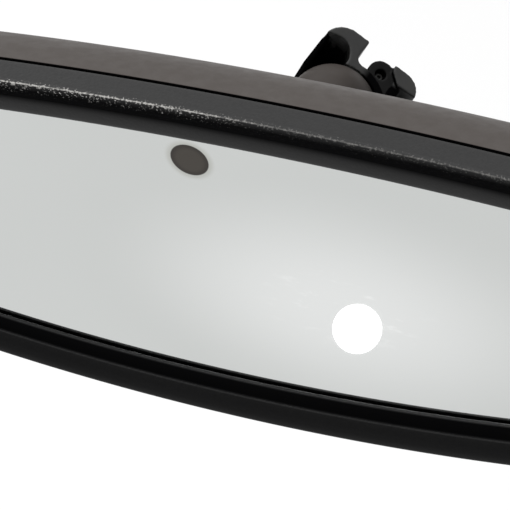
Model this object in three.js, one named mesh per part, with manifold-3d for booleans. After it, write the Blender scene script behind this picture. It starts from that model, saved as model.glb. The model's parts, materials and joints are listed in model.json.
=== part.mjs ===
// Interior rearview mirror with an electrochromic glass cell, a ball joint and a windshield foot.
// Units are millimetres, +Z is up, and the glass faces -Y.
// The head is drawn in its own frame: the front of the glass is y = 0 and its middle is x = 0, z = 0.
// The mount is drawn about the middle of its ball, with +Y along the stem, and is then turned into place.
// The last group moves the whole assembly so that the origin is the middle of the foot's channel floor.
import * as THREE from 'three';
import { mergeVertices } from 'three/addons/utils/BufferGeometryUtils.js';
import { ParametricGeometry } from 'three/addons/geometries/ParametricGeometry.js';
import Module from 'manifold-3d';

const wasm = await Module();
wasm.setup();

const rad = THREE.MathUtils.degToRad;

// Lens outline of the opening: a flat top arc, a rounder bottom arc and two end arcs.
const HALF_HEIGHT = 28.5;
const TOP_RADIUS = 620;
const BOTTOM_RADIUS = 330;
const END_RADIUS = 16;
const ARC_STEPS = 18;
const END_STEPS = 7;

// Bezel and rear housing, as distances outward from the opening's edge and back from the glass.
const RIM = 8.7;
const PARTING = 1.9;
const PARTING_GAP = 0.5;
const WALL = 2;
const START_SLOPE = rad(8);
const TURN_SLOPE = rad(66);
const BACK_RADIUS = 23;
const CROWN = 5;

// Glass cell and carrier, as spans along Y.
const GLASS_RIM = 2.2;
const FRONT_GLASS = [0, 1.7];
const CELL_GAP = [1.8, 2.2];
const REAR_GLASS = [2.3, 3.9];
const CLIP_FLANGE = [4.1, 4.4];
const FOAM = [4.5, 5.2];
const CARRIER = [5.5, 7];
const BOARD = [10.3, 11.9];

// Glare sensor window, measured on the glass.
const SENSOR_X = -4.3;
const SENSOR_Z = 23.2;

// Ball joint, as radii about the middle of the ball.
const BALL = new THREE.Vector3(0, 48.7, -7.7);
const BALL_RADIUS = 5.2;
const STEM_RADIUS = 2.2;
const RIVET_RADIUS = 1.8;
const SEAT = [5.5, 6.1];
const CUP = [6.4, 6.9];
const SOCKET_RADIUS = 7.2;
const DOME_RADIUS = 8.1;
const MOUTH_ANGLE = rad(38.2);
const SHROUD_RADIUS = 8.45;

// Foot, in the mount's own frame.
const FOOT_LEFT = -9.05;
const FOOT_RIGHT = 11.2;
const FOOT_TOP = 14.25;
const FOOT_NEAR = 3;
const FOOT_FAR = -10.6;
const FOOT_UNDERSIDE = 5;
const CLAW_TOP = 13.8;
const CLAW_NEAR = 2.7;
const CLAW_UNDERSIDE = 10.4;
const POCKET_BACK = -8;
const COLLAR_RADIUS = 9.5;
const CHANNEL_LEFT = -1.6;
const CHANNEL_RIGHT = 4.7;
const CHANNEL_MIDDLE = (CHANNEL_LEFT + CHANNEL_RIGHT) / 2;
const CHANNEL_FLOOR = 9.4;
const SEAT_POINT_Z = -5.4;
const STOP = { x: 3.45, y: 11.15, radius: 2.55, far: -1.5, near: 1.6 };
const SCREW = { x: 3.5, y: 10.9, radius: 0.75, far: -2.6, near: 0.3 };

// How the head stands on the foot at rest, turned in the ball joint.
const REST_YAW = rad(-15);
const REST_PITCH = rad(10);
const REST_ROLL = rad(30);

const COLOURS = {
  housing: [0x5c5855, 0.5, 0],
  bezel: [0x2b2b2c, 0.55, 0],
  mirror: [0xd2d6d4, 0.05, 1],
  clear: [0xdfe6e6, 0.05, 0],
  metal: [0xb4b4b0, 0.35, 1],
  casting: [0x1d1d1c, 0.45, 0.3],
  nylon: [0xd9d6c8, 0.5, 0],
  plastic: [0x161616, 0.6, 0],
  foam: [0x3a3a3a, 0.95, 0],
  board: [0x1f5b35, 0.5, 0],
  gold: [0xc9a24a, 0.3, 1],
  smoke: [0x22201e, 0.15, 0],
};

const head = new THREE.Group();
const mount = new THREE.Group();

// Solids

function toSolid(geometry) {
  const bare = geometry.clone();
  bare.deleteAttribute('normal');
  bare.deleteAttribute('uv');
  const merged = mergeVertices(bare, 1e-4);
  const index = merged.index.array;
  const triVerts = [];
  for (let i = 0; i < index.length; i += 3) {
    const [a, b, c] = index.slice(i, i + 3);
    if (a !== b && b !== c && c !== a) triVerts.push(a, b, c);
  }
  return new wasm.Manifold(new wasm.Mesh({
    numProp: 3,
    vertProperties: new Float32Array(merged.attributes.position.array),
    triVerts: new Uint32Array(triVerts),
  }));
}

function toGeometry(solid) {
  const mesh = solid.getMesh();
  const geometry = new THREE.BufferGeometry();
  geometry.setAttribute('position', new THREE.BufferAttribute(mesh.vertProperties, 3));
  geometry.setIndex(new THREE.BufferAttribute(mesh.triVerts, 1));
  geometry.computeVertexNormals();
  return geometry;
}

function combine(base, added, removed) {
  let solid = toSolid(base);
  for (const geometry of added) solid = solid.add(toSolid(geometry));
  for (const geometry of removed) solid = solid.subtract(toSolid(geometry));
  return toGeometry(solid);
}

function addPart(group, name, geometry, look) {
  const [color, roughness, metalness] = COLOURS[look];
  const mesh = new THREE.Mesh(geometry, new THREE.MeshStandardMaterial({ color, roughness, metalness }));
  mesh.name = name;
  group.add(mesh);
  return mesh;
}

function block(size, centre) {
  return new THREE.BoxGeometry(...size).translate(...centre);
}

function rod(radius, fromY, toY, x, z, steps = 20) {
  return new THREE.CylinderGeometry(radius, radius, toY - fromY, steps).translate(x, (fromY + toY) / 2, z);
}

function slab(points, fromY, toY, holes = []) {
  const shape = new THREE.Shape(points);
  shape.holes = holes.map((hole) => new THREE.Path([...hole].reverse()));
  const geometry = new THREE.ExtrudeGeometry(shape, { depth: toY - fromY, bevelEnabled: false });
  return geometry.rotateX(Math.PI / 2).translate(0, toY, 0);
}

function turned(profile, steps, x = 0, y = 0, z = 0) {
  const points = profile.map(([radius, height]) => new THREE.Vector2(radius, height));
  return new THREE.LatheGeometry(points, steps).translate(x, y, z);
}

function arcProfile(radius, fromAngle, toAngle, steps) {
  const points = [];
  for (let i = 0; i <= steps; i += 1) {
    const angle = fromAngle + ((toAngle - fromAngle) * i) / steps;
    points.push([radius * Math.sin(angle), radius * Math.cos(angle)]);
  }
  return points;
}

// Lens outline

const topCentre = HALF_HEIGHT - TOP_RADIUS;
const bottomCentre = BOTTOM_RADIUS - HALF_HEIGHT;
const topReach = TOP_RADIUS - END_RADIUS;
const bottomReach = BOTTOM_RADIUS - END_RADIUS;
const endZ = (topReach ** 2 - bottomReach ** 2 - topCentre ** 2 + bottomCentre ** 2)
  / (2 * (bottomCentre - topCentre));
const endX = Math.sqrt(topReach ** 2 - (endZ - topCentre) ** 2);
const topAngle = Math.atan2(endX, endZ - topCentre);
const bottomAngle = Math.atan2(endX, bottomCentre - endZ);

const LENS_ARCS = [
  { x: 0, z: topCentre, radius: TOP_RADIUS, from: -topAngle, to: topAngle, steps: ARC_STEPS },
  { x: endX, z: endZ, radius: END_RADIUS, from: topAngle, to: Math.PI - bottomAngle, steps: END_STEPS },
  { x: 0, z: bottomCentre, radius: BOTTOM_RADIUS, from: Math.PI - bottomAngle, to: Math.PI + bottomAngle,
    steps: ARC_STEPS },
  { x: -endX, z: endZ, radius: END_RADIUS, from: Math.PI + bottomAngle, to: 2 * Math.PI - topAngle,
    steps: END_STEPS },
];
const LENS_STEPS = 2 * (ARC_STEPS + END_STEPS);

function lensPoint(offset, index) {
  let left = index % LENS_STEPS;
  for (const arc of LENS_ARCS) {
    if (left < arc.steps) {
      const angle = arc.from + ((arc.to - arc.from) * left) / arc.steps;
      const radius = arc.radius + offset;
      return new THREE.Vector2(arc.x + radius * Math.sin(angle), arc.z + radius * Math.cos(angle));
    }
    left -= arc.steps;
  }
  return lensPoint(offset, 0);
}

function lensOutline(offset) {
  return Array.from({ length: LENS_STEPS }, (_, index) => lensPoint(offset, index));
}

// A closed surface through rings, each given as [offset, y, scale]; the first and last shrink to a point.
function lensSolid(rings) {
  const place = (u, v, target) => {
    const [offset, y, scale] = rings[Math.round(v * (rings.length - 1))];
    const point = lensPoint(offset, Math.round(u * LENS_STEPS));
    target.set(point.x * scale, y, point.y * scale);
  };
  return new ParametricGeometry(place, LENS_STEPS, rings.length - 1);
}

// A ring whose section is a closed polygon of [offset, y] points, swept round the lens outline.
function lensRing(section) {
  const place = (u, v, target) => {
    const [offset, y] = section[Math.round(v * section.length) % section.length];
    const point = lensPoint(offset, Math.round(u * LENS_STEPS));
    target.set(point.x, y, point.y);
  };
  return new ParametricGeometry(place, LENS_STEPS, section.length);
}

// Rear housing

function housingRings(inset, frontY) {
  const turnSteps = 7;
  const crownSteps = 4;
  const backY = PARTING + PARTING_GAP;
  const rings = [[RIM - inset, frontY, 0], [RIM - inset, frontY, 1]];
  const turnY = backY + BACK_RADIUS * (Math.sin(TURN_SLOPE) - Math.sin(START_SLOPE));
  const turnOffset = RIM - BACK_RADIUS * (Math.cos(START_SLOPE) - Math.cos(TURN_SLOPE));
  for (let i = 1; i <= turnSteps; i += 1) {
    const slope = START_SLOPE + ((TURN_SLOPE - START_SLOPE) * i) / turnSteps;
    const offset = RIM - BACK_RADIUS * (Math.cos(START_SLOPE) - Math.cos(slope)) - inset * Math.cos(slope);
    const y = backY + BACK_RADIUS * (Math.sin(slope) - Math.sin(START_SLOPE)) - inset * Math.sin(slope);
    rings.push([offset, y, 1]);
  }
  for (let i = 1; i <= crownSteps; i += 1) {
    const scale = 1 - i / crownSteps;
    const y = turnY + CROWN * (1 - scale ** 2) - inset;
    rings.push([turnOffset - inset * Math.cos(TURN_SLOPE), y, scale]);
  }
  return rings;
}

const housingBackY = PARTING + PARTING_GAP + BACK_RADIUS * (Math.sin(TURN_SLOPE) - Math.sin(START_SLOPE)) + CROWN;
const BOSS_PLACES = [[-86, 4], [86, 4], [-46, -15], [46, -15]];
const PLATE_SCREW_ANGLES = [90, 210, 330];
const PLATE_SCREW_CIRCLE = 11.8;
const PLATE = [17.2, 18.7];
const SOCKET_PORT = { x: 34, z: 9, width: 17, height: 11 };
const AMBIENT = { x: -34, z: 9, radius: 3.4 };

function platePoint(angle) {
  return [BALL.x + PLATE_SCREW_CIRCLE * Math.cos(rad(angle)), BALL.z + PLATE_SCREW_CIRCLE * Math.sin(rad(angle))];
}

function neckOuter() {
  const front = housingBackY - 4 - BALL.y;
  const profile = [[0, front], [14, front], [12.6, front + 4], [9.6, front + 11], [DOME_RADIUS, -7]];
  const dome = arcProfile(DOME_RADIUS, rad(90), 0, 10);
  return turned([...profile, ...dome], 36, BALL.x, BALL.y, BALL.z);
}

function socketBore() {
  const front = 12 - BALL.y;
  const profile = [[0, front], [SOCKET_RADIUS, front]];
  const sphere = arcProfile(SOCKET_RADIUS, rad(90), 0, 9);
  return turned([...profile, ...sphere], 36, BALL.x, BALL.y, BALL.z);
}

function socketMouth() {
  const reach = DOME_RADIUS + 2;
  const cone = [[0, 0], [reach * Math.sin(MOUTH_ANGLE), reach * Math.cos(MOUTH_ANGLE)], [0, reach + 1]];
  return turned(cone, 36, BALL.x, BALL.y, BALL.z);
}

function makeHousing() {
  const outer = toSolid(lensSolid(housingRings(0, PARTING + PARTING_GAP))).add(toSolid(neckOuter()));
  const inner = toSolid(lensSolid(housingRings(WALL, 0)));
  let bosses = toSolid(rod(3.2, CARRIER[1] + 0.3, housingBackY, ...BOSS_PLACES[0], 16));
  for (const [x, z] of BOSS_PLACES.slice(1)) {
    bosses = bosses.add(toSolid(rod(3.2, CARRIER[1] + 0.3, housingBackY, x, z, 16)));
  }
  for (const angle of PLATE_SCREW_ANGLES) {
    bosses = bosses.add(toSolid(rod(2.9, PLATE[1] + 0.3, housingBackY, ...platePoint(angle), 16)));
  }
  const holes = BOSS_PLACES.map(([x, z]) => rod(1.5, 0, CARRIER[1] + 9, x, z, 12));
  for (const angle of PLATE_SCREW_ANGLES) holes.push(rod(1.4, 0, PLATE[1] + 4.4, ...platePoint(angle), 12));
  holes.push(socketBore(), socketMouth());
  holes.push(block([SOCKET_PORT.width, 30, SOCKET_PORT.height], [SOCKET_PORT.x, housingBackY, SOCKET_PORT.z]));
  holes.push(rod(AMBIENT.radius, 15, 40, AMBIENT.x, AMBIENT.z, 24));
  let solid = outer.subtract(inner).add(bosses.intersect(outer));
  for (const hole of holes) solid = solid.subtract(toSolid(hole));
  return toGeometry(solid);
}

addPart(head, 'rear_housing', makeHousing(), 'housing');

// Front bezel: lip, valley, cove, rounded ridge, side face and the tongue inside the housing.
const BEZEL_SECTION = [
  [0, -0.95], [3.1, -0.45], [3.6, -1.25], [7.2, -2.9], [8.05, -2.8], [8.4, -2.2], [RIM, PARTING],
  [RIM - WALL - 0.9, PARTING], [RIM - WALL - 0.9, 4.8], [4.3, 4.8], [4.3, 1], [3.2, 0.6], [2.6, -0.3], [0.2, -0.3],
];
addPart(head, 'front_bezel', lensRing(BEZEL_SECTION), 'bezel');

// Glass cell
addPart(head, 'front_glass', slab(lensOutline(GLASS_RIM), ...FRONT_GLASS), 'mirror');
addPart(head, 'edge_seal', slab(lensOutline(1.6), ...CELL_GAP, [lensOutline(0.2)]), 'nylon');
addPart(head, 'electrochromic_gel', slab(lensOutline(-0.1), ...CELL_GAP), 'clear');
addPart(head, 'rear_glass', slab(lensOutline(1.6), ...REAR_GLASS), 'clear');

// Contact clips along the long edges of the rear glass.
function clipBand(arc, inner, outer, halfAngle, middle) {
  const steps = 10;
  const points = [];
  for (const offset of [inner, outer]) {
    for (let i = 0; i <= steps; i += 1) {
      const side = offset === inner ? 1 : -1;
      const angle = middle + side * halfAngle * (2 * (i / steps) - 1);
      const radius = arc.radius + offset;
      points.push(new THREE.Vector2(arc.x + radius * Math.sin(angle), arc.z + radius * Math.cos(angle)));
    }
  }
  return points;
}

function makeClip(arc, middle) {
  const halfAngle = 62 / arc.radius;
  const wall = slab(clipBand(arc, 2, 2.5, halfAngle, middle), 2.4, CLIP_FLANGE[1]);
  const flange = slab(clipBand(arc, -1.8, 2.5, halfAngle, middle), ...CLIP_FLANGE);
  return combine(wall, [flange], []);
}

addPart(head, 'contact_clip_top', makeClip(LENS_ARCS[0], 0), 'metal');
addPart(head, 'contact_clip_bottom', makeClip(LENS_ARCS[2], Math.PI), 'metal');

// Foam pad and carrier plate, both pierced for the light pipe.
const pipeHole = rod(3.5, 3, 9, SENSOR_X, SENSOR_Z, 20);
const screwNotches = BOSS_PLACES.map(([x, z]) => rod(3.4, 4, 5.5, x, z, 16));
addPart(head, 'foam_pad', combine(slab(lensOutline(-3), ...FOAM), [], [pipeHole, ...screwNotches]), 'foam');

const POST_PLACES = [[-54, 8], [54, 8], [-54, 22], [54, 22]];
const BOARD_MIDDLE = 15;
const BOARD_SIZE = [120, 20];

function makeCarrier() {
  const posts = POST_PLACES.map(([x, z]) => rod(2.6, CARRIER[1] - 0.5, BOARD[0] - 0.3, x, z, 16));
  const windows = [-1, 1].map((side) => block([30, 6, 16], [side * 24, 6, -6]));
  const holes = POST_PLACES.map(([x, z]) => rod(1.2, CARRIER[0] + 0.6, BOARD[1], x, z, 12));
  for (const [x, z] of BOSS_PLACES) {
    holes.push(rod(1.6, 4, 8, x, z, 12));
    holes.push(rod(3.1, 4, CARRIER[0] + 0.9, x, z, 16));
  }
  return combine(slab(lensOutline(1.4), ...CARRIER), posts, [...windows, ...holes, pipeHole]);
}

addPart(head, 'carrier_plate', makeCarrier(), 'plastic');

// A screw along Y: the head sits at headY and the shank runs towards +Y or -Y.
function makeScrew(headRadius, headHeight, shankRadius, length, direction) {
  const driveWidth = headRadius * 0.75;
  const shank = rod(shankRadius, -0.2, length, 0, 0, 12);
  const cap = rod(headRadius, -headHeight, 0, 0, 0, 16);
  const slots = [
    block([driveWidth * 1.6, headHeight, 0.5], [0, -headHeight, 0]),
    block([0.5, headHeight, driveWidth * 1.6], [0, -headHeight, 0]),
  ];
  const screw = combine(cap, [shank], slots);
  return direction > 0 ? screw : screw.rotateX(Math.PI);
}

BOSS_PLACES.forEach(([x, z], index) => {
  const screw = makeScrew(2.8, 0.8, 1.2, 9, 1);
  addPart(head, `carrier_screw_${index + 1}`, screw, 'metal').position.set(x, CARRIER[0] + 0.6, z);
});

// Circuit board and what stands on it.
const boardHoles = POST_PLACES.map(([x, z]) => rod(1.5, BOARD[0] - 1, BOARD[1] + 1, x, z, 12));
const boardMiddle = [0, (BOARD[0] + BOARD[1]) / 2, BOARD_MIDDLE];
const boardBlank = block([BOARD_SIZE[0], BOARD[1] - BOARD[0], BOARD_SIZE[1]], boardMiddle);
addPart(head, 'circuit_board', combine(boardBlank, [], boardHoles), 'board');

POST_PLACES.forEach(([x, z], index) => {
  const screw = makeScrew(2.3, 1.2, 0.9, 3.9, -1);
  addPart(head, `board_screw_${index + 1}`, screw, 'metal').position.set(x, BOARD[1] + 0.3, z);
});

addPart(head, 'glare_light_pipe', rod(3.1, 4.3, 8.2, SENSOR_X, SENSOR_Z, 24), 'clear');
addPart(head, 'glare_sensor', block([5, 1.4, 3.4], [SENSOR_X, BOARD[0] - 1, SENSOR_Z]), 'smoke');
addPart(head, 'ambient_sensor', block([4, 1.4, 4], [AMBIENT.x, BOARD[1] + 1, AMBIENT.z]), 'smoke');
addPart(head, 'controller_chip', block([12, 1.8, 12], [-8, BOARD[1] + 1.2, 14]), 'plastic');
[12, 20].forEach((x, index) => {
  addPart(head, `capacitor_${index + 1}`, rod(2.8, BOARD[1] + 0.3, BOARD[1] + 7, x, 12, 20), 'metal');
});

// Ambient light window in the back of the housing.
const ambientTube = combine(rod(3.1, BOARD[1] + 2.2, 24.2, AMBIENT.x, AMBIENT.z, 24), [], [
  rod(1.9, BOARD[1], 20, AMBIENT.x, AMBIENT.z, 16),
]);
addPart(head, 'ambient_window', ambientTube, 'smoke');

// Wire connector: an open-backed shell with four pins in it.
const PORT_DEPTH = 11;
const PORT_BACK = 26;
const PIN_OFFSETS = [-4.5, -1.5, 1.5, 4.5];
const PIN_LENGTH = 7.3;
const portFront = BOARD[1] + 0.3;

function makeConnector() {
  const size = [SOCKET_PORT.width - 0.8, PORT_BACK - portFront, SOCKET_PORT.height - 0.8];
  const body = block(size, [SOCKET_PORT.x, (PORT_BACK + portFront) / 2, SOCKET_PORT.z]);
  const cavity = block([13.6, PORT_DEPTH * 2, 7.6], [SOCKET_PORT.x, PORT_BACK, SOCKET_PORT.z]);
  const pinHoles = PIN_OFFSETS.map((x) => block([1.2, 30, 1.2], [SOCKET_PORT.x + x, BOARD[1], SOCKET_PORT.z]));
  return combine(body, [], [cavity, ...pinHoles]);
}

addPart(head, 'connector_shell', makeConnector(), 'plastic');
PIN_OFFSETS.forEach((x, index) => {
  const middle = [SOCKET_PORT.x + x, portFront + PIN_LENGTH / 2, SOCKET_PORT.z];
  addPart(head, `connector_pin_${index + 1}`, block([0.6, PIN_LENGTH, 0.6], middle), 'gold');
});

// Spring plate, its screws and the coil spring behind the ball.
const plateOutline = new THREE.CylinderGeometry(14.5, 14.5, PLATE[1] - PLATE[0], 36);
plateOutline.translate(BALL.x, (PLATE[0] + PLATE[1]) / 2, BALL.z);
const plateHub = rod(4, PLATE[0], PLATE[1] + 2.2, BALL.x, BALL.z, 20);
const plateHoles = PLATE_SCREW_ANGLES.map((angle) => rod(1.5, 10, 25, ...platePoint(angle), 12));
addPart(head, 'spring_plate', combine(plateOutline, [plateHub], plateHoles), 'metal');

PLATE_SCREW_ANGLES.forEach((angle, index) => {
  const [x, z] = platePoint(angle);
  const screw = makeScrew(2.4, 1.4, 1.1, 5.6, 1);
  addPart(head, `plate_screw_${index + 1}`, screw, 'metal').position.set(x, PLATE[0] - 0.3, z);
});

function springPath(radius, fromY, toY, turns) {
  class Helix extends THREE.Curve {
    getPoint(t, target = new THREE.Vector3()) {
      const angle = 2 * Math.PI * turns * t;
      return target.set(radius * Math.cos(angle), fromY + (toY - fromY) * t, radius * Math.sin(angle));
    }
  }
  return new Helix();
}

function makeSpring() {
  const turns = 6;
  const sides = 6;
  const wire = 0.55;
  const section = Array.from({ length: sides }, (_, i) => {
    const angle = (2 * Math.PI * i) / sides;
    return new THREE.Vector2(wire * Math.cos(angle), wire * Math.sin(angle));
  });
  const extrudePath = springPath(5.7, PLATE[1] + 0.9, BALL.y - 6, turns);
  const geometry = new THREE.ExtrudeGeometry(new THREE.Shape(section), { steps: turns * 11, extrudePath });
  return geometry.translate(BALL.x, 0, BALL.z);
}

addPart(head, 'pressure_spring', makeSpring(), 'metal');

// Cups round the ball
function shellProfile([inner, outer], fromAngle, toAngle, steps) {
  return [...arcProfile(outer, fromAngle, toAngle, steps), ...arcProfile(inner, toAngle, fromAngle, steps)];
}

function closedTurned(profile, steps) {
  return turned([...profile, profile[0]], steps);
}

const cup = addPart(head, 'pressure_cup', closedTurned(shellProfile(CUP, rad(168), rad(100), 5), 26), 'metal');
cup.position.copy(BALL);

addPart(mount, 'ball_seat', closedTurned(shellProfile(SEAT, rad(152), rad(32), 8), 26), 'nylon');

// Mount: ball stud, foot, clamping screw and button clip
function makeStud() {
  const neckAngle = Math.asin(STEM_RADIUS / BALL_RADIUS);
  const profile = arcProfile(BALL_RADIUS, Math.PI, neckAngle, 11);
  profile.push([STEM_RADIUS, SHROUD_RADIUS - 0.4], [RIVET_RADIUS, SHROUD_RADIUS - 0.4]);
  profile.push([RIVET_RADIUS, CHANNEL_FLOOR - 0.1], [0, CHANNEL_FLOOR - 0.1]);
  return turned(profile, 28);
}

addPart(mount, 'ball_stud', makeStud(), 'metal');

function extrudeZ(points, fromZ, toZ) {
  const shape = new THREE.Shape(points.map(([x, y]) => new THREE.Vector2(x, y)));
  return new THREE.ExtrudeGeometry(shape, { depth: toZ - fromZ, bevelEnabled: false }).translate(0, 0, fromZ);
}

// A quarter arc round [x, y] from one angle to another, in degrees from +X.
function corner(x, y, radius, fromAngle, toAngle) {
  const steps = 8;
  return Array.from({ length: steps + 1 }, (_, i) => {
    const angle = rad(fromAngle + ((toAngle - fromAngle) * i) / steps);
    return [x + radius * Math.cos(angle), y + radius * Math.sin(angle)];
  });
}

const LEFT_CORNER = 4.4;
const RIGHT_CORNER = 3.8;
const LEFT_SHOULDER = corner(FOOT_LEFT + LEFT_CORNER, FOOT_TOP - LEFT_CORNER, LEFT_CORNER, 90, 180);
const RIGHT_SHOULDER = corner(FOOT_RIGHT - RIGHT_CORNER, CLAW_TOP - RIGHT_CORNER, RIGHT_CORNER, 10, 90);

// The left jaw over its pocket, with the collar that runs on round the ball cover.
function jawOutline() {
  const fillet = 1.4;
  return [
    ...LEFT_SHOULDER.slice(0, -1),
    [-6.2, 11.5],
    [-4.9, 11.35],
    [-4.1, 10.9],
    [-3.35, 10],
    [-2.8, 8.8],
    [-2.7, FOOT_UNDERSIDE],
    [7.6, FOOT_UNDERSIDE],
    ...corner(0, 0, COLLAR_RADIUS, 38, 84),
    ...corner(CHANNEL_LEFT + fillet, CHANNEL_FLOOR + fillet, fillet, 270, 180),
    [CHANNEL_LEFT, FOOT_TOP],
  ];
}

// The channel's floor and the right jaw, set back behind the collar.
function floorOutline() {
  return [
    [-2, FOOT_UNDERSIDE],
    [8.1, FOOT_UNDERSIDE],
    [8.1, CLAW_UNDERSIDE],
    ...RIGHT_SHOULDER,
    [CHANNEL_RIGHT, CLAW_TOP],
    [CHANNEL_RIGHT, CHANNEL_FLOOR],
    [-1, CHANNEL_FLOOR],
  ];
}

const CLAW_OUTLINE = [
  [CHANNEL_RIGHT, CLAW_TOP],
  [5, 12.4],
  [6.3, 11.3],
  [7.4, CLAW_UNDERSIDE],
  ...RIGHT_SHOULDER,
];

function makeFoot() {
  const shroud = [[FOOT_LEFT, 3.4], [FOOT_RIGHT, 3.4], ...RIGHT_SHOULDER, ...LEFT_SHOULDER];
  const channel = [
    [CHANNEL_LEFT, CHANNEL_FLOOR],
    [CHANNEL_RIGHT, CHANNEL_FLOOR],
    [CHANNEL_RIGHT, FOOT_TOP + 1],
    [CHANNEL_LEFT, FOOT_TOP + 1],
  ];
  const back = combine(extrudeZ(shroud, FOOT_FAR, POCKET_BACK), [], [extrudeZ(channel, FOOT_FAR - 1, 0)]);
  const front = POCKET_BACK - 0.5;
  const sideWall = [
    [FOOT_LEFT, 3.4],
    [FOOT_LEFT + 0.9, 3.4],
    [FOOT_LEFT + 0.9, 11.3],
    [FOOT_LEFT + 0.25, 11.1],
    [FOOT_LEFT, 9.8],
  ];
  const added = [
    back,
    extrudeZ(sideWall, front, 1.5),
    extrudeZ(floorOutline(), front, STOP.near),
    extrudeZ(CLAW_OUTLINE, STOP.near - 0.5, CLAW_NEAR),
    rod(STOP.radius, -STOP.near, -STOP.far, 0, 0, 32).rotateX(-Math.PI / 2).translate(STOP.x, STOP.y, 0),
  ];
  const cuts = [
    new THREE.SphereGeometry(SHROUD_RADIUS, 28, 16),
    rod(RIVET_RADIUS + 0.3, 0, CHANNEL_FLOOR + 0.3, 0, 0, 24),
    rod(SCREW.radius + 0.3, -4, 4, 0, 0, 24).rotateX(-Math.PI / 2).translate(SCREW.x, SCREW.y, 0),
  ];
  return combine(extrudeZ(jawOutline(), front, FOOT_NEAR), added, cuts);
}

addPart(mount, 'mount_foot', makeFoot(), 'casting');

// Set screw in the stop, along the channel, with its socket towards the near end.
function makeSetScrew() {
  const shank = rod(SCREW.radius, -SCREW.near, -SCREW.far, 0, 0, 20);
  const socket = rod(0.42, -SCREW.near - 1, -SCREW.near + 0.7, 0, 0, 6);
  return combine(shank, [], [socket]).rotateX(-Math.PI / 2).translate(SCREW.x, SCREW.y, 0);
}

addPart(mount, 'set_screw', makeSetScrew(), 'casting');

// Leaf spring lying in the channel, bowed up in the middle.
function makeButtonClip() {
  const steps = 10;
  const halfLength = 2.2;
  const upper = [];
  const lower = [];
  for (let i = 0; i <= steps; i += 1) {
    const along = -halfLength + (2 * halfLength * i) / steps;
    const rise = 0.9 * Math.cos((Math.PI * along) / (2 * halfLength));
    upper.push([along, CHANNEL_FLOOR + 0.7 + rise]);
    lower.push([along, CHANNEL_FLOOR + 0.3 + rise]);
  }
  const strip = extrudeZ([...upper, ...lower.reverse()], -1.5, 1.5).rotateY(Math.PI / 2);
  return strip.translate(CHANNEL_MIDDLE, 0, FOOT_FAR + 2.6);
}

addPart(mount, 'button_clip', makeButtonClip(), 'metal');

// Assembly
mount.position.copy(BALL);
mount.rotation.set(REST_PITCH, REST_ROLL, REST_YAW, 'ZXY');
const seatPoint = new THREE.Vector3(CHANNEL_MIDDLE, CHANNEL_FLOOR, SEAT_POINT_Z);
seatPoint.applyEuler(mount.rotation).add(BALL);

const mirror = new THREE.Group();
const placed = new THREE.Group();
placed.position.copy(seatPoint).negate();
placed.add(head, mount);
mirror.add(placed);

export default mirror;
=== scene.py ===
import json
import math

import bmesh
import bpy
from bpy.props import FloatProperty, FloatVectorProperty, IntProperty, PointerProperty
from mathutils import Euler, Matrix, Vector
from mathutils.bvhtree import BVHTree


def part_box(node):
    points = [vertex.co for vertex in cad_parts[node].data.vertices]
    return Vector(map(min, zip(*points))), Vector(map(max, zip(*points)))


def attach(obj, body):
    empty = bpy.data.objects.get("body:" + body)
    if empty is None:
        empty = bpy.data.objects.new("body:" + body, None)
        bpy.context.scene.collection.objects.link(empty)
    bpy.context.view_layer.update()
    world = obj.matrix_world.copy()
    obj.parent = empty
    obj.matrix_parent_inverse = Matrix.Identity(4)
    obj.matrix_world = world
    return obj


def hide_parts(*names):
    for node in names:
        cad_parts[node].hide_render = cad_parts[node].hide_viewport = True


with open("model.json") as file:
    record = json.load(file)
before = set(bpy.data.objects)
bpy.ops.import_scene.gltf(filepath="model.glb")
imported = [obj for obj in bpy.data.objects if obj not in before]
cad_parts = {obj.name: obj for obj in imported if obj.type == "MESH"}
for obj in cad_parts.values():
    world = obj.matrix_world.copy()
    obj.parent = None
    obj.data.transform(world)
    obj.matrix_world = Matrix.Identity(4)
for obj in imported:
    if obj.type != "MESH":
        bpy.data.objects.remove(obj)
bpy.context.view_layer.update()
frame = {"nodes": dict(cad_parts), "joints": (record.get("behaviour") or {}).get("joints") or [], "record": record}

bl_info = {
    "name": "Interior Rearview Mirror",
    "version": (1, 0, 0),
    "blender": (4, 5, 0),
    "location": "View3D > Sidebar > Mirror",
    "description": "Builds the finished pieces of an interior rearview mirror round its frame",
    "category": "Add Mesh",
}

MM = 0.001

# Places read from the frame
GLASS_LOW, GLASS_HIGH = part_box("front_glass")
BALL = Vector(frame["joints"][0]["pos_m"])


# ---------------------------------------------------------------- sizes and colours


def length(name, description, millimetres):
    return FloatProperty(name=name, description=description, default=millimetres * MM, unit="LENGTH")


def angle(name, description, degrees):
    return FloatProperty(name=name, description=description, default=math.radians(degrees), subtype="ANGLE")


def colour(name, description, default):
    return FloatVectorProperty(name=name, description=description, default=default, subtype="COLOR", size=3)


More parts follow.
